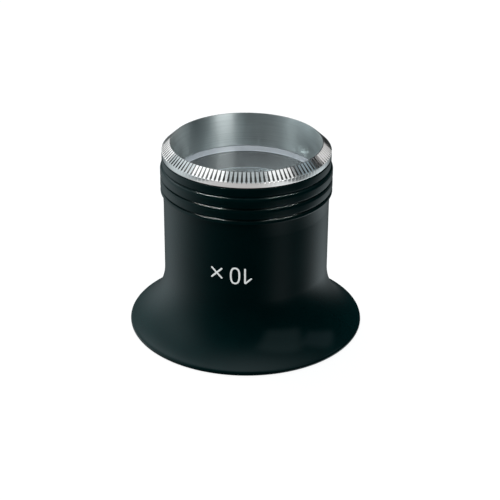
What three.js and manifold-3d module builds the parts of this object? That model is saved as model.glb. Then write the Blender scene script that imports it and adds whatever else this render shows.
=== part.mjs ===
// A watchmaker's-type viewing loupe, 10x, standing on its flared eye cup.
// Units are millimetres, +Z is up, and the origin is the centre of the eye cup's resting face.
//
// From the top down: a knurled metal ring screws into a black moulded housing. Its sleeve
// holds down a stack of two plano-convex lenses, curved faces together, with a spacer ring
// between them. The stack rests on a ledge moulded inside the housing.

import * as THREE from 'three';
import { mergeVertices } from 'three/addons/utils/BufferGeometryUtils.js';
import Module from 'manifold-3d';

const wasm = await Module();
wasm.setup();

// ---------------------------------------------------------------- driving dimensions

const ROUND_STEPS = 60;             // facets round the housing, the lenses and the spacer
const REST_GAP = 0.05;              // gap kept between pieces that rest on each other

// Lenses: the pair has a focal length of about 25 mm, which is 10x
const LENS_RADIUS = 12.5;
const LENS_EDGE = 3.2;              // thickness of the ground cylindrical edge
const LENS_CURVE = 25.8;            // radius of the curved face
const LENS_ARC_STEPS = 5;
const LENS_APEX_GAP = 0.5;          // between the two curved faces on the axis
const FRONT_LENS_TOP = 28.15;       // height of the upper flat face

// Spacer ring between the lenses
const SPACER_INNER_RADIUS = 11.7;
const SPACER_CHAMFER = 0.2;

// Thread between the screw ring and the housing, right-handed
const THREAD_PITCH = 0.75;
const THREAD_STEPS = 30;            // facets per turn
const THREAD_PHASE = Math.PI / ROUND_STEPS; // so that its corners fall between the housing's
const THREAD_ROOT_RADIUS = 13.15;   // of the ring's sleeve
const THREAD_DEPTH = 0.35;
const THREAD_BASE_WIDTH = 0.42;
const THREAD_CREST_WIDTH = 0.12;
const THREAD_CLEARANCE = 0.15;      // radial
const THREAD_FLANK_CLEARANCE = 0.1; // axial, on each flank
const THREAD_EMBED = 0.1;           // how far a ridge sinks into what carries it
const THREAD_LEAD_IN = 0.3;         // height of the groove's start above the thread's floor
const THREAD_RUNOUT_TURNS = 0.6;    // plain part of the sleeve under the ring's head

// Screw ring
const RING_RADIUS = 14.5;
const RING_HEAD_BOTTOM = 31.92;
const RING_BAND_TOP = 32.83;        // top of the plain band, foot of the knurled bevel
const RING_TOP = 34.15;
const RING_TOP_LAND = 0.15;
const RING_MOUTH_RADIUS = 12.92;    // bore at the top face
const RING_EXIT_RADIUS = 12.3;      // bore at the foot of the sleeve
const RING_STEPS = 60;              // facets round the ring, two knurl teeth on each
const KNURL_TEETH = 2 * RING_STEPS;
const KNURL_FOOT_DEPTH = 0.22;      // square to the bevel, at its foot
const KNURL_HEAD_DEPTH = 0.07;      // and at its head, where the grooves grow narrow
const KNURL_CUTTER_RADIUS = 0.5;
const KNURL_OVERRUN = 0.6;          // how far the cutter runs past the head

// Housing, outside
const HOUSING_TOP = 31.75;
const FLANGE_RADIUS = 14.5;
const FLANGE_CHAMFER = 0.15;
const FLANGE_BOTTOM = 30.45;
const RIB_RADIUS = 14.8;
const RIB_TOPS = [29.98, 27.95, 25.95];
const RIB_BOTTOMS = [28.4, 26.4, 25.45];
const RIB_SHOULDER = 0.4;           // height of each rib's sloping upper edge
const RIB_STEP = 0.12;              // how far that edge slopes in
const GROOVE_RADIUS = 14.38;
const RIB_FOOT_SLOPE = 0.2;         // height of the slope under each rib
const GROOVE_FLOOR_LIFT = 0.12;     // height of the step over each rib
const TUBE_RADIUS = 14.3;
const TAPER_BOTTOM = 22.8;
const FLARE_TOP = 10.9;             // where the tube starts to spread
const RIM_RADIUS = 20.6;
const LIP_RADIUS = 0.5;             // rounding of the rim's outer edge
const FLARE_STEPS = 7;
const LIP_STEPS = 3;

// Housing, inside
const WALL = 1.4;
const THREAD_FLOOR = 27.85;
const STACK_BORE_RADIUS = 12.65;
const SEAT_RADIUS = 11.3;           // clear opening below the lenses
const SEAT_THICKNESS = 1.2;
const SEAT_FILLET = 1.6;            // height of the cone below the seat
const RIM_LAND_INNER_RADIUS = 19.4;
const RIM_LAND_HEIGHT = 0.3;        // of the slope inside the resting face

// ---------------------------------------------------------------- worked-out dimensions

const sagitta = (radius) => LENS_CURVE - Math.sqrt(LENS_CURVE ** 2 - radius ** 2);
const LENS_SAG = sagitta(LENS_RADIUS);
const LENS_THICKNESS = LENS_EDGE + LENS_SAG;
const REAR_LENS_BOTTOM = FRONT_LENS_TOP - 2 * LENS_THICKNESS - LENS_APEX_GAP;
const SEAT_TOP = REAR_LENS_BOTTOM - REST_GAP;
// The spacer's inner edges touch the curved faces, a little further in than their edges
const SPACER_REACH = LENS_EDGE + LENS_SAG - sagitta(SPACER_INNER_RADIUS) + REST_GAP;
const SPACER_TOP = FRONT_LENS_TOP - SPACER_REACH;
const SPACER_BOTTOM = REAR_LENS_BOTTOM + SPACER_REACH;
const SLEEVE_BOTTOM = FRONT_LENS_TOP + REST_GAP;
const HOUSING_THREAD_RADIUS = THREAD_ROOT_RADIUS + THREAD_CLEARANCE;
const LIP_CENTRE = new THREE.Vector2(RIM_RADIUS - LIP_RADIUS, LIP_RADIUS);

// The flare is one arc, tangent to the tube at its top and to the rounded lip at its foot
const flareRun = LIP_CENTRE.x - TUBE_RADIUS;
const flareDrop = FLARE_TOP - LIP_CENTRE.y;
const FLARE_RADIUS = (flareRun ** 2 + flareDrop ** 2 - LIP_RADIUS ** 2) / (2 * (flareRun + LIP_RADIUS));
const FLARE_CENTRE = new THREE.Vector2(TUBE_RADIUS + FLARE_RADIUS, FLARE_TOP);
const FLARE_ANGLE = Math.atan2(flareDrop, FLARE_CENTRE.x - LIP_CENTRE.x);

// ---------------------------------------------------------------- tools for solids

const point = (radius, height) => new THREE.Vector2(radius, height);

/** Points on a circle of the section, from one angle to the other, both ends included. */
function arc(centre, radius, fromAngle, toAngle, steps) {
  const points = [];
  for (let i = 0; i <= steps; i += 1) {
    const angle = fromAngle + ((toAngle - fromAngle) * i) / steps;
    points.push(point(centre.x + radius * Math.cos(angle), centre.y + radius * Math.sin(angle)));
  }
  return points;
}

/** Turns a section (radius, height) about the Z axis. */
function turned(section, closed, steps = ROUND_STEPS) {
  const points = closed ? [...section, section[0].clone()] : section;
  return new THREE.LatheGeometry(points, steps).rotateX(Math.PI / 2);
}

/** A closed manifold-3d solid from a three.js geometry. */
function solid(geometry) {
  const bare = geometry.clone();
  bare.deleteAttribute('normal');
  bare.deleteAttribute('uv');
  const merged = mergeVertices(bare);
  const triVerts = [];
  for (let i = 0; i < merged.index.count; i += 3) {
    const [a, b, c] = merged.index.array.slice(i, i + 3);
    if (a !== b && b !== c && c !== a) triVerts.push(a, b, c);
  }
  return new wasm.Manifold(new wasm.Mesh({
    numProp: 3,
    vertProperties: new Float32Array(merged.attributes.position.array),
    triVerts: new Uint32Array(triVerts),
  }));
}

/** A three.js geometry from a manifold-3d solid. */
function geometryOf(manifold) {
  const mesh = manifold.getMesh();
  const geometry = new THREE.BufferGeometry();
  geometry.setAttribute('position', new THREE.BufferAttribute(mesh.vertProperties, 3));
  geometry.setIndex(new THREE.BufferAttribute(mesh.triVerts, 1));
  return geometry;
}

/**
 * A helical ridge of trapezoid section. It starts at startHeight and climbs one pitch a turn.
 * grow widens it on both flanks, for the groove that such a ridge runs in.
 */
function threadRidge(innerRadius, outerRadius, startHeight, turns, grow) {
  const steps = Math.round(turns * THREAD_STEPS);
  const geometry = new THREE.BoxGeometry(1, 1, 1, steps, 1, 1);
  const position = geometry.attributes.position;
  const slope = (THREAD_BASE_WIDTH - THREAD_CREST_WIDTH) / THREAD_DEPTH;
  for (let i = 0; i < position.count; i += 1) {
    const along = position.getX(i) + 0.5;
    const outward = position.getY(i) + 0.5;
    const side = -2 * position.getZ(i);
    const angle = (along * steps * 2 * Math.PI) / THREAD_STEPS;
    const radius = innerRadius + outward * (outerRadius - innerRadius);
    const width = THREAD_BASE_WIDTH - slope * (radius - THREAD_ROOT_RADIUS);
    const height = startHeight + (angle * THREAD_PITCH) / (2 * Math.PI) + side * (width / 2 + grow);
    const azimuth = angle + THREAD_PHASE;
    position.setXYZ(i, radius * Math.cos(azimuth), radius * Math.sin(azimuth), height);
  }
  return geometry;
}

// ---------------------------------------------------------------- housing

/** The outside of the housing, from the rim's resting face up to the mouth. */
function housingOutline() {
  const outline = [
    ...arc(LIP_CENTRE, LIP_RADIUS, -Math.PI / 2, FLARE_ANGLE, LIP_STEPS),
    ...arc(FLARE_CENTRE, FLARE_RADIUS, Math.PI + FLARE_ANGLE, Math.PI, FLARE_STEPS).slice(1),
  ];
  outline.push(point(TUBE_RADIUS, TAPER_BOTTOM));
  for (let rib = RIB_TOPS.length - 1; rib >= 0; rib -= 1) {
    outline.push(point(GROOVE_RADIUS, RIB_BOTTOMS[rib] - RIB_FOOT_SLOPE));
    outline.push(point(RIB_RADIUS, RIB_BOTTOMS[rib]));
    outline.push(point(RIB_RADIUS, RIB_TOPS[rib] - RIB_SHOULDER));
    outline.push(point(RIB_RADIUS - RIB_STEP, RIB_TOPS[rib]));
    outline.push(point(GROOVE_RADIUS, RIB_TOPS[rib] + GROOVE_FLOOR_LIFT));
  }
  outline.push(point(FLANGE_RADIUS, FLANGE_BOTTOM));
  outline.push(point(FLANGE_RADIUS, HOUSING_TOP - FLANGE_CHAMFER));
  outline.push(point(FLANGE_RADIUS - FLANGE_CHAMFER, HOUSING_TOP));
  return outline;
}

/** The inside of the housing, from the mouth down to the rim's resting face. */
function housingBore() {
  const innerFlare = FLARE_RADIUS + WALL;
  const landAngle = Math.asin((FLARE_TOP - RIM_LAND_HEIGHT) / innerFlare);
  return [
    point(HOUSING_THREAD_RADIUS, HOUSING_TOP),
    point(HOUSING_THREAD_RADIUS, THREAD_FLOOR),
    point(STACK_BORE_RADIUS, THREAD_FLOOR),
    point(STACK_BORE_RADIUS, SEAT_TOP),
    point(SEAT_RADIUS, SEAT_TOP),
    point(SEAT_RADIUS, SEAT_TOP - SEAT_THICKNESS),
    point(TUBE_RADIUS - WALL, SEAT_TOP - SEAT_THICKNESS - SEAT_FILLET),
    ...arc(FLARE_CENTRE, innerFlare, Math.PI, Math.PI + landAngle, FLARE_STEPS),
    point(RIM_LAND_INNER_RADIUS, 0),
  ];
}

function housingGeometry() {
  const shell = solid(turned([...housingOutline(), ...housingBore()], true));
  const grooveStart = THREAD_FLOOR + THREAD_LEAD_IN;
  const turns = (HOUSING_TOP - grooveStart) / THREAD_PITCH + 1;
  const groove = threadRidge(
    HOUSING_THREAD_RADIUS - 2 * THREAD_EMBED,
    THREAD_ROOT_RADIUS + THREAD_DEPTH + THREAD_CLEARANCE,
    grooveStart,
    turns,
    THREAD_FLANK_CLEARANCE,
  );
  return geometryOf(shell.subtract(solid(groove)));
}

// ---------------------------------------------------------------- screw ring

/** One V-shaped cutter of the knurl, lying along the bevel at azimuth 0. */
function knurlCutter() {
  const foot = point(RING_RADIUS, RING_BAND_TOP);
  const head = point(RING_MOUTH_RADIUS + RING_TOP_LAND, RING_TOP);
  const bevel = head.clone().sub(foot).normalize();
  const inward = point(-bevel.y, bevel.x);
  // The cutting edge runs from the groove's bottom at the foot to its bottom at the head
  foot.addScaledVector(inward, KNURL_FOOT_DEPTH);
  head.addScaledVector(inward, KNURL_HEAD_DEPTH);
  const run = head.clone().sub(foot);
  const length = run.length() + KNURL_OVERRUN;
  const cutter = new THREE.CylinderGeometry(KNURL_CUTTER_RADIUS, KNURL_CUTTER_RADIUS, length, 4);
  cutter.rotateY(-Math.PI / 2);
  cutter.translate(KNURL_CUTTER_RADIUS, length / 2, 0);
  cutter.rotateZ(Math.atan2(run.y, run.x) - Math.PI / 2);
  cutter.rotateX(Math.PI / 2);
  cutter.translate(foot.x, 0, foot.y);
  return cutter;
}

function screwRingGeometry() {
  let ring = solid(turned([
    point(RING_EXIT_RADIUS, SLEEVE_BOTTOM),
    point(THREAD_ROOT_RADIUS, SLEEVE_BOTTOM),
    point(THREAD_ROOT_RADIUS, RING_HEAD_BOTTOM),
    point(RING_RADIUS, RING_HEAD_BOTTOM),
    point(RING_RADIUS, RING_BAND_TOP),
    point(RING_MOUTH_RADIUS + RING_TOP_LAND, RING_TOP),
    point(RING_MOUTH_RADIUS, RING_TOP),
  ], true, RING_STEPS));
  const cutter = knurlCutter();
  for (let tooth = 0; tooth < KNURL_TEETH; tooth += 1) {
    const placed = cutter.clone().rotateZ((tooth * 2 * Math.PI) / KNURL_TEETH);
    ring = ring.subtract(solid(placed));
  }
  const ridgeStart = THREAD_FLOOR + THREAD_LEAD_IN + THREAD_PITCH;
  const turns = (RING_HEAD_BOTTOM - ridgeStart) / THREAD_PITCH - THREAD_RUNOUT_TURNS;
  const ridge = threadRidge(
    THREAD_ROOT_RADIUS - THREAD_EMBED,
    THREAD_ROOT_RADIUS + THREAD_DEPTH,
    ridgeStart,
    turns,
    0,
  );
  return geometryOf(ring.add(solid(ridge)));
}

// ---------------------------------------------------------------- lenses and spacer

/** A plano-convex lens, flat face at height 0 and curved face below it. */
function lensGeometry() {
  const curveCentre = point(0, LENS_CURVE - LENS_THICKNESS);
  const halfAngle = Math.asin(LENS_RADIUS / LENS_CURVE);
  const curve = arc(curveCentre, LENS_CURVE, -Math.PI / 2, halfAngle - Math.PI / 2, LENS_ARC_STEPS);
  curve[0].x = 0;
  return turned([...curve, point(LENS_RADIUS, 0), point(0, 0)], false);
}

function spacerGeometry() {
  const outer = LENS_RADIUS;
  return turned([
    point(SPACER_INNER_RADIUS, SPACER_BOTTOM),
    point(outer - SPACER_CHAMFER, SPACER_BOTTOM),
    point(outer, SPACER_BOTTOM + SPACER_CHAMFER),
    point(outer, SPACER_TOP - SPACER_CHAMFER),
    point(outer - SPACER_CHAMFER, SPACER_TOP),
    point(SPACER_INNER_RADIUS, SPACER_TOP),
  ], true);
}

// ---------------------------------------------------------------- materials

const blackPlastic = new THREE.MeshStandardMaterial({ color: 0x0b1110, roughness: 0.32, metalness: 0 });
const turnedAluminium = new THREE.MeshStandardMaterial({ color: 0xc4c4c0, roughness: 0.25, metalness: 1 });
const blackAnodised = new THREE.MeshStandardMaterial({ color: 0x16191a, roughness: 0.5, metalness: 0.6 });
const lensGlass = new THREE.MeshStandardMaterial({ color: 0xdfe9ea, roughness: 0.05, metalness: 0 });

// ---------------------------------------------------------------- assembly

const loupe = new THREE.Group();

function place(name, geometry, material) {
  const mesh = new THREE.Mesh(geometry, material);
  mesh.name = name;
  loupe.add(mesh);
  return mesh;
}

place('housing', housingGeometry(), blackPlastic);
place('screw_ring', screwRingGeometry(), turnedAluminium);
place('spacer_ring', spacerGeometry(), blackAnodised);
place('front_lens', lensGeometry(), lensGlass).position.z = FRONT_LENS_TOP;
const rearLens = place('rear_lens', lensGeometry(), lensGlass);
rearLens.rotation.x = Math.PI;
rearLens.position.z = REAR_LENS_BOTTOM;

export default loupe;
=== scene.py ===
"""Looks of the 10x viewing loupe: moulded black housing, knurled aluminium ring, lens pair and spacer."""

import math

import bmesh
import bpy
from mathutils import Matrix, Vector


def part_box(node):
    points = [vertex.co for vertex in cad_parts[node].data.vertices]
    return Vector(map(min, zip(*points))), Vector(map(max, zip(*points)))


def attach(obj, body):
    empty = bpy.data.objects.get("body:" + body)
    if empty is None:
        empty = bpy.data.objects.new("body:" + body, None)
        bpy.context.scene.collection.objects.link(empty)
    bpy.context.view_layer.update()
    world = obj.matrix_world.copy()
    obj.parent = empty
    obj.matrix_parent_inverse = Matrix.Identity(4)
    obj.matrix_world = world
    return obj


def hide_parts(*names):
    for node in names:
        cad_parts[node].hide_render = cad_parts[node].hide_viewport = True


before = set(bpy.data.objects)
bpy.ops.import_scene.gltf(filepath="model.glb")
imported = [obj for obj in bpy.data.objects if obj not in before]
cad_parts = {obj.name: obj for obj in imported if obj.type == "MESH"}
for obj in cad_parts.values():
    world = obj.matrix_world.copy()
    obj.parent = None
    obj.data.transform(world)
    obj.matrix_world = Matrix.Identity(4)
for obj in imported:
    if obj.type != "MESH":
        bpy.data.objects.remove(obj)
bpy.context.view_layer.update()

# ---------------------------------------------------------------- sizes, in metres

MM = 0.001
TURN = 2 * math.pi
NOISE_RANGE = (0.3, 0.7)            # where nearly all of a noise's values lie
FILLET_REACH = 0.48                 # share of an edge that a fillet may take
ROW_GAP = 0.1 * MM                  # between a corner and the row of mesh beside it

housing_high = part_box("housing")[1]
ring_low, ring_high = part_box("screw_ring")
front_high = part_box("front_lens")[1]
rear_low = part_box("rear_lens")[0]
spacer_low, spacer_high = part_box("spacer_ring")

# Screw ring
RING_RADIUS = ring_high[0]
RING_TOP = ring_high[2]
SLEEVE_BOTTOM = ring_low[2]
RING_HEAD_BOTTOM = RING_TOP - 2.23 * MM
BEVEL_FOOT = RING_TOP - 1.32 * MM
MOUTH_RADIUS = 12.92 * MM
TOP_LAND = 0.15 * MM
EXIT_RADIUS = 12.3 * MM
MOUTH_SEAM = 0.05 * MM              # the section starts this far outside the mouth
HEAD_FILLET = 0.1 * MM
SLEEVE_WALL = 0.15 * MM             # flat foot of the sleeve inside its chamfer
SLEEVE_CHAMFER = 0.2 * MM
SLEEVE_NECK = 0.05 * MM             # the section ends this far below the head
KNURL_TEETH = 120
# Depth of the knurl's grooves, and half their width as a share of the pitch
GROOVE_AT_FOOT = (0.23 * MM, 0.29)
GROOVE_AT_TOP = (0.06 * MM, 0.13)
GROOVE_RUNOUT = 0.22 * MM           # height of the rounded end at the foot of each groove
RUNOUT_SHARES = (0, 0.05, 0.15, 0.35, 0.65, 1)
RUNOUT_LEAST = 0.02                 # keeps the very foot of a groove open
BEVEL_ROWS = 8                      # rows of mesh above the rounded ends
GROOVE_BOTTOM = 0.2                 # share of the groove's width that is its flat bottom
TOOTH_COLUMNS = 5                   # columns of mesh to each tooth
GROOVE_COLUMNS = (1, 2, 3)          # those with the groove's walls and bottom to their right
# The ring's metals: colours of the turning lines, range of roughness, and how far they smear
RING_METALS = (
    ("burnished_aluminium", (0.66, 0.65, 0.645), (0.82, 0.81, 0.80), (0.1, 0.16), 0.3),
    ("turned_bore", (0.52, 0.565, 0.565), (0.66, 0.705, 0.705), (0.34, 0.42), 0.9),
    # The grooves' dark colour is painted shade: the same aluminium as the head, darkened for the shade
    # inside the grooves.
    ("knurl_grooves_painted_shade", (0.09, 0.088, 0.085), (0.2, 0.195, 0.19), (0.25, 0.4), 0.0),
)
BORE_METAL = 1
GROOVE_SHADE_METAL = 2
FACING_IN = 0.3                     # how squarely a face of the bore faces the axis, at least
UNDER_HEAD = 0.02 * MM              # a face this far below the head belongs to the sleeve

# Thread between the ring's sleeve and the housing
THREAD_PITCH = 0.75 * MM
THREAD_DEPTH = 0.35 * MM
THREAD_SHARES = (0.8, 0.4)          # width of the housing's groove at its mouth and bottom, in pitches
SLEEVE_ROOT = 13.15 * MM
THREAD_BORE = 13.3 * MM
THREAD_START = SLEEVE_BOTTOM
THREAD_ROWS = 12                    # rows of the housing's mesh to each turn
RIDGE_STEPS = 180                   # steps of the sleeve's ridge to each turn
RIDGE_TAPER_STEPS = 24              # steps over which each end rises to full height
RIDGE_SINK = 0.1 * MM               # depth to which it is sunk into the sleeve
RIDGE_BASE = 0.25 * MM              # half its width where it is sunk
RIDGE_CREST = 0.07 * MM             # half its width at the crest
RIDGE_ROUND = 0.04 * MM             # chamfer of the crest's two edges
RIDGE_END_GAP = 0.35 * MM           # below the ring's head

# Housing
HOUSING_COLUMNS = 288
RIM_RADIUS = 20.6 * MM
LIP = 0.5 * MM                      # radius of the rounded rim
TUBE_RADIUS = 14.3 * MM
GROOVE_RADIUS = 14.38 * MM
RIB_RADIUS = 14.8 * MM
FLANGE_RADIUS = 14.5 * MM
HOUSING_TOP = housing_high[2]
RIB_TOPS = [HOUSING_TOP - drop * MM for drop in (5.8, 3.8, 1.77)]
RIB_BOTTOMS = [HOUSING_TOP - drop * MM for drop in (6.3, 5.35, 3.35)]
# A rib's section: foot below it, shoulder below its top, least flat side, and inset and rise of its top
RIB_FOOT = 0.2 * MM
RIB_SHOULDER = 0.4 * MM
RIB_FLAT = 0.2 * MM
RIB_INSET = 0.12 * MM
RIB_RISE = 0.12 * MM
# Fillets of a rib's five corners, from its foot up
RIB_FILLETS = [fillet * MM for fillet in (0.1, 0.16, 0.2, 0.12, 0.06)]
FLANGE_BOTTOM = HOUSING_TOP - 1.3 * MM
FLANGE_FOOT_FILLET = 0.1 * MM
FLANGE_FILLET = 0.18 * MM
MOUTH_FILLET = 0.15 * MM
TAPER_BOTTOM = HOUSING_TOP - 8.95 * MM
TAPER_FILLET = 3 * MM
FLARE_TOP = 10.9 * MM
FLARE_STRAIGHT = 2 * MM             # straight wall above the flare outside
CUP_STRAIGHT = 0.5 * MM             # straight wall above the flare inside
CUP_FOOT = 0.3 * MM                 # height at which the arc inside the cup ends
LIP_STEPS = 12
FLARE_STEPS = 40
CUP_STEPS = 30
WALL = 1.4 * MM
THREAD_TOP = HOUSING_TOP - 0.4 * MM
THREAD_FLOOR = front_high[2] - 0.3 * MM
THREAD_CLEAR = 0.05 * MM            # plain wall between the thread and its floor
STACK_BORE = 12.65 * MM
SEAT_RADIUS = 11.3 * MM
SEAT_TOP = rear_low[2] - 0.05 * MM
SEAT_BOTTOM = SEAT_TOP - 1.2 * MM
SEAT_FOOT = SEAT_TOP - 2.8 * MM     # foot of the slope under the seat
LAND_INNER = 19.4 * MM              # inner radius of the flat foot

# Lenses
LENS_RADIUS = front_high[0]
LENS_EDGE = 3.2 * MM
LENS_CURVE = 25.8 * MM
LENS_BEVEL = 0.12 * MM
LENS_STEPS = 40                     # from the middle of the curved face to its edge
FLAT_SHARES = (0.85, 0.6, 0.3, 0)   # rows of mesh on the flat face, as shares of its radius
GROUND_SHARE = 0.9                  # of the bevel's width that is ground
GROUND_GLASS = 1
STACK_COLUMNS = 192

# Spacer
SPACER_INNER = 11.7 * MM
SPACER_BEVEL = 0.2 * MM
SPACER_FILLET = 0.06 * MM


# ---------------------------------------------------------------- mesh tools

def arc(centre, radius, start, end, steps):
    """Points on a circle of the section plane, both ends included."""
    points = []
    for i in range(steps + 1):
        angle = start + (end - start) * i / steps
        points.append((centre[0] + radius * math.cos(angle), centre[1] + radius * math.sin(angle)))
    return points


def rounded(corners, steps):
    """A section from corners of (radius, height, fillet), each rounded to its fillet."""
    points = []
    for i, (r, z, fillet) in enumerate(corners):
        if fillet == 0 or i in (0, len(corners) - 1):
            points.append((r, z))
            continue
        here = Vector((r, z))
        back = Vector(corners[i - 1][:2]) - here
        ahead = Vector(corners[i + 1][:2]) - here
        half = back.angle(ahead) / 2
        reach = min(fillet / math.tan(half), FILLET_REACH * back.length, FILLET_REACH * ahead.length)
        start = here + back.normalized() * reach
        end = here + ahead.normalized() * reach
        for k in range(steps + 1):
            t = k / steps
            bend = start * (1 - t) ** 2 + here * 2 * t * (1 - t) + end * t ** 2
            points.append((bend.x, bend.y))
    return points


def revolve(name, sections, angles, poles=False, sharp=32):
    """A turned mesh. sections[i] is the list of (radius, height) at angles[i], outside going up.

    A third value in a point turns it about the axis, away from its section.
    """
    columns = len(angles)
    count = len(sections[0])
    verts = []
    for angle, section in zip(angles, sections):
        for r, z, *shift in section:
            turned = angle + sum(shift)
            verts.append((r * math.cos(turned), r * math.sin(turned), z))
    faces = []
    rows = count - 1 if poles else count
    for i in range(columns):
        j = (i + 1) % columns
        for k in range(rows):
            m = (k + 1) % count
            faces.append((i * count + k, j * count + k, j * count + m, i * count + m))
    mesh = bpy.data.meshes.new(name)
    mesh.from_pydata(verts, [], faces)
    if poles:
        weld(mesh)
    finish_mesh(mesh, sharp)
    piece = bpy.data.objects.new(name, mesh)
    bpy.context.scene.collection.objects.link(piece)
    return piece


def weld(mesh):
    """Joins the points that lie together on the axis."""
    work = bmesh.new()
    work.from_mesh(mesh)
    bmesh.ops.remove_doubles(work, verts=work.verts, dist=1e-7)
    work.to_mesh(mesh)
    work.free()


def finish_mesh(mesh, sharp):
    """Smooth shading, with a hard edge wherever the surface turns by more than sharp degrees."""
    mesh.validate()
    mesh.polygons.foreach_set("use_smooth", [True] * len(mesh.polygons))
    mesh.set_sharp_from_angle(angle=math.radians(sharp))
    mesh.update()


def even_angles(columns):
    """Angles of evenly spaced columns."""
    return [TURN * i / columns for i in range(columns)]


def trapezoid(share, base, crest):
    """1 on a crest centred on whole numbers of share, falling to 0 at half its base away."""
    away = abs((share + 0.5) % 1.0 - 0.5)
    return min(1.0, max(0.0, (base / 2 - away) / (base / 2 - crest / 2)))


# ---------------------------------------------------------------- material tools

def material(name, **values):
    """A Principled material with its even values set on the shader itself."""
    mat = bpy.data.materials.new(name)
    mat.use_nodes = True
    shader = mat.node_tree.nodes["Principled BSDF"]
    for key, value in values.items():
        shader.inputs[key.replace("_", " ")].default_value = value
    return mat, mat.node_tree, shader


def noise(tree, scale, detail, stretch=(1, 1, 1), roughness=0.5):
    """Noise in the object's own metres; stretch squeezes it along an axis."""
    coords = tree.nodes.new("ShaderNodeTexCoord")
    mapping = tree.nodes.new("ShaderNodeMapping")
    mapping.inputs["Scale"].default_value = stretch
    texture = tree.nodes.new("ShaderNodeTexNoise")
    texture.inputs["Scale"].default_value = scale
    texture.inputs["Detail"].default_value = detail
    texture.inputs["Roughness"].default_value = roughness
    tree.links.new(coords.outputs["Object"], mapping.inputs["Vector"])
    tree.links.new(mapping.outputs["Vector"], texture.inputs["Vector"])
    return texture.outputs["Fac"]


def spread(tree, value, low, high):
    """Maps a noise value onto the range low to high."""
    node = tree.nodes.new("ShaderNodeMapRange")
    node.inputs["From Min"].default_value = NOISE_RANGE[0]
    node.inputs["From Max"].default_value = NOISE_RANGE[1]
    node.inputs["To Min"].default_value = low
    node.inputs["To Max"].default_value = high
    tree.links.new(value, node.inputs["Value"])
    return node.outputs["Result"]


def blend_colours(tree, value, first, second):
    """A colour that a noise value blends from the first to the second."""
    ramp = tree.nodes.new("ShaderNodeValToRGB")
    for stop, place, colour in zip(ramp.color_ramp.elements, NOISE_RANGE, (first, second)):
        stop.position = place
        stop.color = (*colour, 1)
    tree.links.new(value, ramp.inputs["Fac"])
    return ramp.outputs["Color"]


def bump(tree, shader, value, strength, distance):
    """Raises the surface where a noise value is high."""
    node = tree.nodes.new("ShaderNodeBump")
    node.inputs["Strength"].default_value = strength
    node.inputs["Distance"].default_value = distance
    tree.links.new(value, node.inputs["Height"])
    tree.links.new(node.outputs["Normal"], shader.inputs["Normal"])


# ---------------------------------------------------------------- materials

def black_plastic():
    """Satin-gloss black moulding with a faint mottle and a very fine grain."""
    mat, tree, shader = material("moulded_black", IOR=1.45, Specular_IOR_Level=0.237)
    broad = noise(tree, 260, 3)
    fine = noise(tree, 5200, 2)
    tree.links.new(blend_colours(tree, broad, (0.0010, 0.0205, 0.0215), (0.0014, 0.0245, 0.0250)),
                   shader.inputs["Base Color"])
    tree.links.new(spread(tree, broad, 0.08, 0.13), shader.inputs["Roughness"])
    bump(tree, shader, fine, 0.05, 0.00001)
    return mat


def turned_metal(name, dark, bright, rough, blur):
    """Metal with fine turning lines round the axis; blur is how far they smear along it."""
    mat, tree, shader = material(name, Metallic=1.0, Anisotropic=blur, Anisotropic_Rotation=0.25)
    lines = noise(tree, 900, 6, (0.12, 0.12, 9.0), 0.7)
    smudge = noise(tree, 320, 3)
    tree.links.new(blend_colours(tree, lines, dark, bright), shader.inputs["Base Color"])
    tree.links.new(spread(tree, smudge, *rough), shader.inputs["Roughness"])
    bump(tree, shader, lines, 0.08, 0.00001)
    tangent = tree.nodes.new("ShaderNodeTangent")
    tangent.direction_type = "RADIAL"
    tangent.axis = "Z"
    tree.links.new(tangent.outputs["Tangent"], shader.inputs["Tangent"])
    return mat


def black_anodised():
    """Dull black aluminium with turning lines."""
    mat, tree, shader = material("black_anodised", Metallic=0.6)
    lines = noise(tree, 700, 6, (0.15, 0.15, 8.0), 0.7)
    tree.links.new(blend_colours(tree, lines, (0.014, 0.018, 0.018), (0.03, 0.036, 0.036)),
                   shader.inputs["Base Color"])
    tree.links.new(spread(tree, lines, 0.4, 0.55), shader.inputs["Roughness"])
    bump(tree, shader, lines, 0.2, 0.00002)
    return mat


def lens_glass():
    """Clear polished glass with a trace of haze."""
    mat, tree, shader = material(
        "lens_glass", IOR=1.523, Transmission_Weight=0.97, Base_Color=(0.95, 0.985, 1.0, 1))
    haze = noise(tree, 420, 3)
    tree.links.new(spread(tree, haze, 0.0, 0.012), shader.inputs["Roughness"])
    return mat


def ground_glass():
    """Pale bluish glass, ground rough."""
    mat, tree, shader = material("ground_glass_edge", IOR=1.523, Transmission_Weight=0.35)
    grit = noise(tree, 9000, 2)
    tree.links.new(blend_colours(tree, grit, (0.66, 0.70, 0.76), (0.80, 0.84, 0.90)),
                   shader.inputs["Base Color"])
    tree.links.new(spread(tree, grit, 0.6, 0.8), shader.inputs["Roughness"])
    bump(tree, shader, grit, 0.3, 0.00001)
    return mat


def white_paint():
    """White paint laid a little unevenly."""
    mat, tree, shader = material("white_mark_paint", Specular_IOR_Level=0.3)
    patch = noise(tree, 3000, 4)
    tree.links.new(blend_colours(tree, patch, (0.78, 0.80, 0.79), (0.9, 0.91, 0.9)),
                   shader.inputs["Base Color"])
    tree.links.new(spread(tree, patch, 0.45, 0.65), shader.inputs["Roughness"])
    bump(tree, shader, patch, 0.15, 0.00002)
    return mat


# ---------------------------------------------------------------- housing

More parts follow.
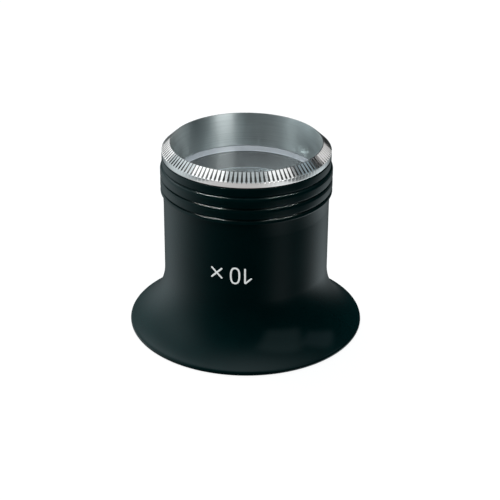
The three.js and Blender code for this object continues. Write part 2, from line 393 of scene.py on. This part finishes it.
def housing_sections(columns):
    """The housing's section, the same all round but for its internal thread."""
    lip_centre = (RIM_RADIUS - LIP, LIP)
    run = lip_centre[0] - TUBE_RADIUS
    drop = FLARE_TOP - lip_centre[1]
    flare_radius = (run ** 2 + drop ** 2 - LIP ** 2) / (2 * (run + LIP))
    flare_centre = (TUBE_RADIUS + flare_radius, FLARE_TOP)
    flare_angle = math.atan2(drop, flare_centre[0] - lip_centre[0])

    outside = arc(lip_centre, LIP, -math.pi / 2, flare_angle, LIP_STEPS)
    outside += arc(flare_centre, flare_radius, math.pi + flare_angle, math.pi, FLARE_STEPS)[1:]
    ribs = [(TUBE_RADIUS, FLARE_TOP + FLARE_STRAIGHT, 0), (TUBE_RADIUS, TAPER_BOTTOM, TAPER_FILLET)]
    for top, bottom in zip(RIB_TOPS, RIB_BOTTOMS):
        corners = (
            (GROOVE_RADIUS, bottom - RIB_FOOT),
            (RIB_RADIUS, bottom),
            (RIB_RADIUS, max(top - RIB_SHOULDER, bottom + RIB_FLAT)),
            (RIB_RADIUS - RIB_INSET, top),
            (GROOVE_RADIUS, top + RIB_RISE),
        )
        ribs += [(r, z, fillet) for (r, z), fillet in zip(corners, RIB_FILLETS)]
    ribs += [
        (FLANGE_RADIUS, FLANGE_BOTTOM, FLANGE_FOOT_FILLET),
        (FLANGE_RADIUS, HOUSING_TOP, FLANGE_FILLET),
        (THREAD_BORE, HOUSING_TOP, MOUTH_FILLET),
        (THREAD_BORE, THREAD_TOP, 0),
    ]
    outside += rounded(ribs, 5)

    threads = []
    rows = int((THREAD_TOP - THREAD_FLOOR) / THREAD_PITCH * THREAD_ROWS)
    for row in range(1, rows):
        threads.append(THREAD_TOP - row * THREAD_PITCH / THREAD_ROWS)

    inner_radius = flare_radius + WALL
    land_angle = math.asin((FLARE_TOP - CUP_FOOT) / inner_radius)
    inside = rounded([
        (THREAD_BORE, THREAD_FLOOR + THREAD_CLEAR, 0),
        (THREAD_BORE, THREAD_FLOOR, 0.03 * MM),
        (STACK_BORE, THREAD_FLOOR, 0.1 * MM),
        (STACK_BORE, SEAT_TOP, 0.05 * MM),
        (SEAT_RADIUS, SEAT_TOP, 0.12 * MM),
        (SEAT_RADIUS, SEAT_BOTTOM, 0.2 * MM),
        (TUBE_RADIUS - WALL, SEAT_FOOT, 0.8 * MM),
        (TUBE_RADIUS - WALL, FLARE_TOP + CUP_STRAIGHT, 0),
    ], 4)
    inside += arc(flare_centre, inner_radius, math.pi, math.pi + land_angle, CUP_STEPS)
    inside += [(LAND_INNER, 0.0)]

    sections = []
    for angle in even_angles(columns):
        section = list(outside)
        for height in threads:
            share = (height - THREAD_START) / THREAD_PITCH - angle / TURN
            section.append((THREAD_BORE + THREAD_DEPTH * trapezoid(share, *THREAD_SHARES), height))
        sections.append(section + inside)
    return sections


def build_housing():
    """The black moulding, turned in one piece."""
    piece = revolve("housing_moulding", housing_sections(HOUSING_COLUMNS), even_angles(HOUSING_COLUMNS))
    piece.data.materials.append(black_plastic())
    return piece


# ---------------------------------------------------------------- screw ring

def knurl_heights():
    """Heights of the mesh rows up the knurled bevel, close together where the grooves run out."""
    runout = [BEVEL_FOOT + GROOVE_RUNOUT * share for share in RUNOUT_SHARES]
    rest = RING_TOP - runout[-1]
    return runout + [runout[-1] + rest * i / BEVEL_ROWS for i in range(1, BEVEL_ROWS + 1)]


def knurl_row(height):
    """The bevel's radius, the groove's depth and half its width at a height on the bevel."""
    up = (height - BEVEL_FOOT) / (RING_TOP - BEVEL_FOOT)
    radius = RING_RADIUS + (MOUTH_RADIUS + TOP_LAND - RING_RADIUS) * up
    out = min(1.0, max(RUNOUT_LEAST, (height - BEVEL_FOOT) / GROOVE_RUNOUT))
    ease = math.sqrt(1 - (1 - out) ** 2)
    depth, width = (ease * (f + (t - f) * up) for f, t in zip(GROOVE_AT_FOOT, GROOVE_AT_TOP))
    return radius, depth, width


def ring_sections():
    """The ring's section on the land, the edges and the bottom of each knurl groove."""
    slope = (RING_RADIUS - MOUTH_RADIUS - TOP_LAND) / (RING_TOP - BEVEL_FOOT)
    lean = math.hypot(1, slope)
    band = rounded([
        (SLEEVE_ROOT + ROW_GAP, RING_HEAD_BOTTOM, 0),
        (RING_RADIUS, RING_HEAD_BOTTOM, HEAD_FILLET),
        (RING_RADIUS, BEVEL_FOOT - ROW_GAP, 0),
    ], 4)
    bore = rounded([
        (MOUTH_RADIUS + MOUTH_SEAM, RING_TOP, 0),
        (MOUTH_RADIUS, RING_TOP, 0.04 * MM),
        ((MOUTH_RADIUS + EXIT_RADIUS) / 2, (RING_TOP + SLEEVE_BOTTOM) / 2, 0),
        (EXIT_RADIUS, SLEEVE_BOTTOM, 0.08 * MM),
        (SLEEVE_ROOT - SLEEVE_WALL, SLEEVE_BOTTOM, 0.05 * MM),
        (SLEEVE_ROOT, SLEEVE_BOTTOM + SLEEVE_CHAMFER, 0),
    ], 3)

    # A tooth's columns: middle of the land, then the groove's edge, bottom, bottom and edge.
    # Each has its even place in the pitch, its place across the groove, and 1 if at the bottom
    places = (
        (-0.5, 0, 0),
        (-0.3, -1, 0),
        (-0.1, -GROOVE_BOTTOM, 1),
        (0.1, GROOVE_BOTTOM, 1),
        (0.3, 1, 0),
    )
    tooth = TURN / KNURL_TEETH
    angles = []
    sections = []
    for count in range(KNURL_TEETH):
        for base, across, down in places:
            angle = (count + base) * tooth
            section = list(band)
            for height in knurl_heights():
                radius, depth, width = knurl_row(height)
                shift = 0 if across == 0 else (across * width - base) * tooth
                section.append((radius - down * (1 - GROOVE_BOTTOM) * depth * lean, height, shift))
            section += bore
            section.append((SLEEVE_ROOT, RING_HEAD_BOTTOM - SLEEVE_NECK))
            angles.append(angle)
            sections.append(section)
    return angles, sections


def thread_ridge():
    """The sleeve's helical ridge as a closed mesh, sunk a little into the sleeve, with tapered ends."""
    run = RING_HEAD_BOTTOM - RIDGE_END_GAP - THREAD_START - THREAD_PITCH
    steps = int(run / THREAD_PITCH * RIDGE_STEPS)
    verts = []
    for i in range(steps + 1):
        angle = TURN * i / RIDGE_STEPS
        middle = THREAD_START + THREAD_PITCH * (1 + i / RIDGE_STEPS)
        ease = min(1.0, i / RIDGE_TAPER_STEPS, (steps - i) / RIDGE_TAPER_STEPS)
        crest = SLEEVE_ROOT - RIDGE_SINK / 2 + (THREAD_DEPTH + RIDGE_SINK / 2) * ease
        profile = (
            (SLEEVE_ROOT - RIDGE_SINK, -RIDGE_BASE),
            (crest - RIDGE_ROUND, -RIDGE_CREST - RIDGE_ROUND / 2),
            (crest, -RIDGE_CREST + RIDGE_ROUND / 2),
            (crest, RIDGE_CREST - RIDGE_ROUND / 2),
            (crest - RIDGE_ROUND, RIDGE_CREST + RIDGE_ROUND / 2),
            (SLEEVE_ROOT - RIDGE_SINK, RIDGE_BASE),
        )
        verts.extend((r * math.cos(angle), r * math.sin(angle), middle + z) for r, z in profile)
    corners = len(profile)
    faces = [tuple(range(corners)), tuple(steps * corners + k for k in reversed(range(corners)))]
    for i in range(steps):
        here = i * corners
        ahead = here + corners
        for k in range(corners):
            m = (k + 1) % corners
            faces.append((here + k, ahead + k, ahead + m, here + m))
    mesh = bpy.data.meshes.new("thread_ridge")
    mesh.from_pydata(verts, [], faces)
    finish_mesh(mesh, 20)
    return mesh


def add_mesh(piece, mesh):
    """Adds a closed mesh to a piece as one more shell."""
    work = bmesh.new()
    work.from_mesh(piece.data)
    work.from_mesh(mesh)
    work.to_mesh(piece.data)
    work.free()
    bpy.data.meshes.remove(mesh)


def build_ring():
    """The knurled ring: burnished head, turned bore and sleeve, grooves darkened with painted shade, and
    its thread.
    """
    angles, sections = ring_sections()
    piece = revolve("knurled_screw_ring", sections, angles, sharp=26)
    for metal in RING_METALS:
        piece.data.materials.append(turned_metal(*metal))
    rows = len(sections[0])
    # Faces towards the axis or under the head take the bore's metal; the knurl's grooves take the metal
    # darkened with painted shade.
    for index, polygon in enumerate(piece.data.polygons):
        place = (index // rows) % TOOTH_COLUMNS
        x, y, z = polygon.center
        inward = -(polygon.normal.x * x + polygon.normal.y * y) / math.hypot(x, y)
        if inward > FACING_IN or z < RING_HEAD_BOTTOM - UNDER_HEAD:
            polygon.material_index = BORE_METAL
        elif place in GROOVE_COLUMNS and z > BEVEL_FOOT:
            polygon.material_index = GROOVE_SHADE_METAL
    ridge = thread_ridge()
    ridge.polygons.foreach_set("material_index", [BORE_METAL] * len(ridge.polygons))
    add_mesh(piece, ridge)
    return piece


# ---------------------------------------------------------------- lenses and spacer

def build_lens(name, flat_height, facing):
    """A plano-convex lens; its curved face points up if facing is 1, down if it is -1."""
    centre = math.sqrt(LENS_CURVE ** 2 - LENS_RADIUS ** 2)
    half = math.asin((LENS_RADIUS - LENS_BEVEL) / LENS_CURVE)
    face = []
    for i in range(LENS_STEPS + 1):
        angle = half * i / LENS_STEPS
        face.append((LENS_CURVE * math.sin(angle), LENS_EDGE + LENS_CURVE * math.cos(angle) - centre))
    outline = face + [(LENS_RADIUS, LENS_EDGE - LENS_BEVEL), (LENS_RADIUS, LENS_BEVEL)]
    outline += [(LENS_RADIUS - LENS_BEVEL, 0.0)]
    outline += [((LENS_RADIUS - LENS_BEVEL) * share, 0.0) for share in FLAT_SHARES]
    section = [(r, flat_height + facing * z) for r, z in outline]
    if facing > 0:
        section.reverse()
    angles = even_angles(STACK_COLUMNS)
    piece = revolve(name, [section] * STACK_COLUMNS, angles, poles=True, sharp=20)
    piece.data.materials.append(glass)
    piece.data.materials.append(ground)
    for polygon in piece.data.polygons:
        middle = polygon.center
        if math.hypot(middle.x, middle.y) > LENS_RADIUS - GROUND_SHARE * LENS_BEVEL:
            polygon.material_index = GROUND_GLASS
    return piece


def build_spacer():
    """A plain ring with bevelled outer edges."""
    outer = spacer_high[0]
    low = spacer_low[2]
    high = spacer_high[2]
    section = rounded([
        (SPACER_INNER, (low + high) / 2, 0),
        (SPACER_INNER, low, SPACER_FILLET),
        (outer - SPACER_BEVEL, low, SPACER_FILLET),
        (outer, low + SPACER_BEVEL, SPACER_FILLET),
        (outer, high - SPACER_BEVEL, SPACER_FILLET),
        (outer - SPACER_BEVEL, high, SPACER_FILLET),
        (SPACER_INNER, high, SPACER_FILLET),
        (SPACER_INNER, (low + high) / 2 + ROW_GAP, 0),
    ], 3)
    piece = revolve("black_spacer", [section] * STACK_COLUMNS, even_angles(STACK_COLUMNS))
    piece.data.materials.append(black_anodised())
    return piece


# ---------------------------------------------------------------- power mark

MARK_HEIGHT = 15.74 * MM            # middle of the figures
MARK_TURN = -10.0                   # degrees round from the front, negative to the left
STROKE = 0.31 * MM                  # width of the painted line
STROKE_LIFT = 0.035 * MM            # half its thickness
STROKE_SIDES = 10
STROKE_STEPS = 24
STROKE_TIP = 0.02                   # square of the least share of the width, at a stroke's ends
# Plan of the figures as they are read, in millimetres: right of the mark's middle, then up
ONE_STEM = ((-2.36, -1.43), (-2.36, 1.43))
ONE_FLAG = ((-2.36, 1.43), (-3.5, 0.42))
TIMES_STROKES = (((1.5, -1.22), (3.45, 0.72)), ((3.45, -1.22), (1.5, 0.72)))
ZERO_MIDDLE = -0.69
ZERO_HALF = (0.72, 1.42)
ZERO_POWER = 0.8                    # below 1 squares the oval's corners
ZERO_STEPS = 48


def stroke(points, closed=False):
    """A flattened bead along a path in the mark's own plane; returns points and faces."""
    path = [Vector(p) for p in points]
    count = len(path)
    verts = []
    for i, here in enumerate(path):
        ahead = path[(i + 1) % count] if closed or i < count - 1 else here
        back = path[i - 1] if closed or i > 0 else here
        heading = (ahead - back).normalized()
        side = Vector((-heading.y, heading.x))
        width = STROKE / 2
        if not closed:
            nearest = min((here - path[0]).length, (path[-1] - here).length)
            if nearest < width:
                width = math.sqrt(max(STROKE_TIP * width ** 2, width ** 2 - (width - nearest) ** 2))
        for k in range(STROKE_SIDES):
            angle = TURN * k / STROKE_SIDES
            flat = here + side * width * math.cos(angle)
            verts.append((flat.x, flat.y, STROKE_LIFT * math.sin(angle)))
    faces = []
    for i in range(count if closed else count - 1):
        j = (i + 1) % count
        for k in range(STROKE_SIDES):
            m = (k + 1) % STROKE_SIDES
            corners = ((i, k), (i, m), (j, m), (j, k))
            faces.append(tuple(step * STROKE_SIDES + corner for step, corner in corners))
    if not closed:
        faces.append(tuple(range(STROKE_SIDES)))
        faces.append(tuple((count - 1) * STROKE_SIDES + k for k in reversed(range(STROKE_SIDES))))
    return verts, faces


def line(start, end):
    """Points along a straight stroke, closer together at its round ends."""
    points = []
    for i in range(STROKE_STEPS + 1):
        share = (1 - math.cos(math.pi * i / STROKE_STEPS)) / 2
        points.append(tuple((a + (b - a) * share) * MM for a, b in zip(start, end)))
    return points


def oval():
    """Points round the nought."""
    points = []
    for i in range(ZERO_STEPS):
        angle = TURN * i / ZERO_STEPS
        c = math.cos(angle)
        s = math.sin(angle)
        across = ZERO_MIDDLE + ZERO_HALF[0] * math.copysign(abs(c) ** ZERO_POWER, c)
        points.append((across * MM, ZERO_HALF[1] * math.copysign(abs(s) ** ZERO_POWER, s) * MM))
    return points


def build_mark():
    """The figures 10 and a multiplication sign, upside down when the loupe stands on its cup."""
    strokes = [stroke(line(*ONE_STEM)), stroke(line(*ONE_FLAG)), stroke(oval(), closed=True)]
    strokes += [stroke(line(*ends)) for ends in TIMES_STROKES]
    verts = []
    faces = []
    for points, quads in strokes:
        first = len(verts)
        for u, v, lift in points:
            angle = math.radians(MARK_TURN - 90) - u / TUBE_RADIUS
            radius = TUBE_RADIUS + lift
            verts.append((radius * math.cos(angle), radius * math.sin(angle), MARK_HEIGHT - v))
        faces.extend(tuple(first + k for k in quad) for quad in quads)
    mesh = bpy.data.meshes.new("power_mark")
    mesh.from_pydata(verts, [], faces)
    finish_mesh(mesh, 60)
    piece = bpy.data.objects.new("power_mark", mesh)
    bpy.context.scene.collection.objects.link(piece)
    piece.data.materials.append(white_paint())
    return piece


# ---------------------------------------------------------------- the loupe

glass = lens_glass()
ground = ground_glass()

housing = build_housing()
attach(housing, "housing")
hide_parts("housing")

ring = build_ring()
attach(ring, "ring")
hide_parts("screw_ring")

upper_lens = build_lens("upper_lens", front_high[2], -1)
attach(upper_lens, "lens_stack")
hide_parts("front_lens")

lower_lens = build_lens("lower_lens", rear_low[2], 1)
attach(lower_lens, "lens_stack")
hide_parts("rear_lens")

spacer = build_spacer()
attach(spacer, "lens_stack")
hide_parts("spacer_ring")

mark = build_mark()
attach(mark, "housing")

for lens in (upper_lens, lower_lens):
    lens.visible_shadow = False

# ---------------------------------------------------------------- floor, light and camera

# Soft light that surrounds the loupe: azimuth from the front, elevation, sharpness, strength
SURROUND = (
    (-108, -7, 4.6, 0.97),
    (-152, 52, 17, 3.1),
    (-88, 34, 10, 0.64),
    (0, 90, 9, 1.0),
    (50, -40, 26, 0.54),
    (121, -51, 12, 2.1),
)
SURROUND_TINT = (0.91, 1.03, 1.07)
# Two windows with soft edges: azimuth, elevation, half width and height, edge, strength, tint
WINDOWS = (
    (48, 40, 20, 17, 7, 0.48, (0.75, 1.0, 1.03)),
    (98, 37, 15, 9, 5, 0.36, (0.75, 0.98, 1.1)),
)
FAINT_LIGHT = (0.002, 0.002, 0.002)  # everywhere, under all the rest
# Soft boxes that light the ring alone: name, azimuth, elevation, width and height, radiance
RING_BOXES = (
    ("left_key", -74, 56, (32, 24), 0.9),
    ("right_key", 70, 57, (24, 20), 0.9),
    ("right_back", 140, 14, (44, 24), 0.9),
    ("left_back", -148, 10, (34, 28), 0.9),
    ("front_low_box", 55, 31, (20, 20), 0.6),
    ("bore_box", 36, 30, (26, 24), 4.2),
)
BOX_AIM = Vector((0, 0, 0.02))      # the point that every box faces
BOX_DISTANCE = 0.6
# Light that comes up from the table in front, on the ring, and where it shines up from
TABLE_BOUNCE = ("table_bounce", 0, -90, (21, 19), 0.62)
BOUNCE_PLACE = (0, -0.11, -0.03)
PAINT_FILL = ("paint_fill", -10, 25, (40, 40), 4.6)
LENS_FILL = ("lens_fill", 0, 68, (60, 26), 4.2)
# Boxes for the ribs' upper edges: name, azimuth, radiance
RIB_GLINTS = (("left_rib_glint", -147, 14.0), ("right_rib_glint", 147, 5.5))
GLINT_ELEVATION = 64
GLINT_SIZE = (12, 14)
GLINT_TINT = (0.9, 1.0, 0.96)

STAGE_RADIUS = 1.2                  # of the floor and the dome
FLOOR_MIDDLE = 0.2                  # radius of the floor's inner row of mesh
FLOOR_GLOW = 0.93
DOME_GLOW = 1.0

CAMERA_SENSOR = 36                  # in millimetres
CAMERA_LENS = 104.2                 # focal length, in millimetres
CAMERA_PLACE = Vector((0, -0.2272, 0.1292))
CAMERA_AIM = Vector((0.0007, 0, 0.01339))
CAMERA_ROLL = 0.00728               # in radians


def direction(azimuth, elevation):
    """The unit vector towards an azimuth from the front and an elevation, in degrees."""
    a = math.radians(azimuth)
    e = math.radians(elevation)
    return (math.cos(e) * math.sin(a), -math.cos(e) * math.cos(a), math.sin(e))


def scalar(tree, operation, first, second):
    """The result of a Math node on two values, each a number or another node's output."""
    node = tree.nodes.new("ShaderNodeMath")
    node.operation = operation
    for socket, value in zip(node.inputs, (first, second)):
        if isinstance(value, (int, float)):
            socket.default_value = value
        else:
            tree.links.new(value, socket)
    return node.outputs[0]


def along(tree, ray, vector):
    """How far the ray points along a fixed vector."""
    node = tree.nodes.new("ShaderNodeVectorMath")
    node.operation = "DOT_PRODUCT"
    node.inputs[1].default_value = vector
    tree.links.new(ray, node.inputs[0])
    return node.outputs["Value"]


def add_light(tree, total, amount, tint):
    """Adds a tinted amount of light to the total."""
    scaled = tree.nodes.new("ShaderNodeVectorMath")
    scaled.operation = "SCALE"
    scaled.inputs[0].default_value = tint
    tree.links.new(amount, scaled.inputs["Scale"])
    added = tree.nodes.new("ShaderNodeVectorMath")
    added.operation = "ADD"
    tree.links.new(scaled.outputs["Vector"], added.inputs[0])
    if total is None:
        added.inputs[1].default_value = FAINT_LIGHT
    else:
        tree.links.new(total, added.inputs[1])
    return added.outputs["Vector"]


def window_side(tree, offset, facing, half, edge):
    """1 inside a window's half width and 0 outside it, fading over its soft edge."""
    outer = math.tan(math.radians(half + edge))
    inner = math.tan(math.radians(half - edge))
    share = scalar(tree, "ABSOLUTE", scalar(tree, "DIVIDE", offset, facing), 0)
    fade = tree.nodes.new("ShaderNodeMapRange")
    fade.interpolation_type = "SMOOTHSTEP"
    fade.inputs["From Min"].default_value = outer
    fade.inputs["From Max"].default_value = inner
    tree.links.new(share, fade.inputs["Value"])
    return fade.outputs["Result"]


def build_surround():
    """A world of soft round lights, each fading evenly from its middle, and two windows."""
    world = bpy.data.worlds.new("studio")
    bpy.context.scene.world = world
    world.use_nodes = True
    tree = world.node_tree
    ray = tree.nodes.new("ShaderNodeTexCoord").outputs["Generated"]
    total = None
    for azimuth, elevation, sharpness, strength in SURROUND:
        away = scalar(tree, "SUBTRACT", along(tree, ray, direction(azimuth, elevation)), 1.0)
        fade = scalar(tree, "EXPONENT", scalar(tree, "MULTIPLY", away, sharpness), 0)
        total = add_light(tree, total, scalar(tree, "MULTIPLY", fade, strength), SURROUND_TINT)
    for azimuth, elevation, half_width, half_height, edge, strength, tint in WINDOWS:
        centre = Vector(direction(azimuth, elevation))
        right = Vector(direction(azimuth + 90, 0))
        facing = along(tree, ray, centre)
        across = window_side(tree, along(tree, ray, right), facing, half_width, edge)
        up = window_side(tree, along(tree, ray, right.cross(centre)), facing, half_height, edge)
        ahead = scalar(tree, "GREATER_THAN", facing, 0.0)
        inside = scalar(tree, "MULTIPLY", scalar(tree, "MULTIPLY", across, up), ahead)
        total = add_light(tree, total, scalar(tree, "MULTIPLY", inside, strength), tint)
    tree.links.new(total, tree.nodes["Background"].inputs["Color"])


def softbox(name, azimuth, elevation, size, radiance, receivers):
    """A soft rectangular light on some pieces, its place and size in degrees as seen from the loupe."""
    light = bpy.data.lights.new(name, "AREA")
    light.shape = "RECTANGLE"
    light.size, light.size_y = (2 * BOX_DISTANCE * math.tan(math.radians(d) / 2) for d in size)
    light.energy = radiance * light.size * light.size_y * math.pi
    lamp = bpy.data.objects.new(name, light)
    bpy.context.scene.collection.objects.link(lamp)
    away = Vector(direction(azimuth, elevation))
    lamp.location = BOX_AIM + away * BOX_DISTANCE
    lamp.rotation_euler = (-away).to_track_quat("-Z", "Y").to_euler()
    lamp.visible_camera = False
    lamp.visible_transmission = False
    group = bpy.data.collections.new(name + "_lit")
    for piece in receivers:
        group.objects.link(piece)
    lamp.light_linking.receiver_collection = group
    return lamp


def build_softboxes():
    """Boxes that pick out the metal, the ribs' upper edges, the glass and the paint."""
    for box in RING_BOXES:
        softbox(*box, [ring])
    bounce = softbox(*TABLE_BOUNCE, [ring])
    bounce.location = BOUNCE_PLACE
    for name, azimuth, radiance in RIB_GLINTS:
        glint = softbox(name, azimuth, GLINT_ELEVATION, GLINT_SIZE, radiance, [housing])
        glint.visible_diffuse = False
        glint.data.use_shadow = False
        glint.data.color = GLINT_TINT
        glint.data.cycles.use_multiple_importance_sampling = False
    softbox(*PAINT_FILL, [mark])
    softbox(*LENS_FILL, [upper_lens, lower_lens, spacer])


def stage_mesh(name, points, columns=96):
    """A turned surface of the studio itself."""
    verts = []
    for angle in even_angles(columns):
        verts.extend((r * math.cos(angle), r * math.sin(angle), z) for r, z in points)
    count = len(points)
    faces = []
    for i in range(columns):
        j = (i + 1) % columns
        for k in range(count - 1):
            faces.append((i * count + k, j * count + k, j * count + k + 1, i * count + k + 1))
    mesh = bpy.data.meshes.new(name)
    mesh.from_pydata(verts, [], faces)
    weld(mesh)
    mesh.polygons.foreach_set("use_smooth", [True] * len(mesh.polygons))
    piece = bpy.data.objects.new(name, mesh)
    bpy.context.scene.collection.objects.link(piece)
    for kind in ("diffuse", "glossy", "transmission", "volume_scatter", "shadow"):
        setattr(piece, "visible_" + kind, False)
    return piece


def build_studio():
    """A pale floor and a white dome over it, seen by the camera alone."""
    floor = stage_mesh("studio_floor", [(0, 0), (FLOOR_MIDDLE, 0), (STAGE_RADIUS, 0)])
    mat, tree, shader = material("pale_floor", Roughness=0.9, Specular_IOR_Level=0.0)
    paper = noise(tree, 40, 3)
    tree.links.new(blend_colours(tree, paper, (0.19, 0.19, 0.19), (0.21, 0.21, 0.21)),
                   shader.inputs["Base Color"])
    shader.inputs["Emission Color"].default_value = (1, 1, 1, 1)
    shader.inputs["Emission Strength"].default_value = FLOOR_GLOW
    floor.data.materials.append(mat)
    dome = stage_mesh("studio_dome", arc((0, 0), STAGE_RADIUS, 0, math.pi / 2, 24))
    mat, _, shader = material("white_dome", Base_Color=(0, 0, 0, 1), Specular_IOR_Level=0.0)
    shader.inputs["Emission Color"].default_value = (1, 1, 1, 1)
    shader.inputs["Emission Strength"].default_value = DOME_GLOW
    dome.data.materials.append(mat)


def build_camera():
    """A long lens, 25.5 cm from the point it aims at and 27 degrees above level."""
    camera = bpy.data.cameras.new("camera")
    camera.sensor_width = CAMERA_SENSOR
    camera.lens = CAMERA_LENS
    holder = bpy.data.objects.new("camera", camera)
    bpy.context.scene.collection.objects.link(holder)
    facing = (CAMERA_AIM - CAMERA_PLACE).to_track_quat("-Z", "Y").to_matrix()
    roll = Matrix.Rotation(CAMERA_ROLL, 3, "Z")
    holder.matrix_world = Matrix.Translation(CAMERA_PLACE) @ (facing @ roll).to_4x4()
    bpy.context.scene.camera = holder


build_studio()
build_surround()
build_softboxes()
build_camera()
bpy.context.scene.view_settings.view_transform = "Standard"
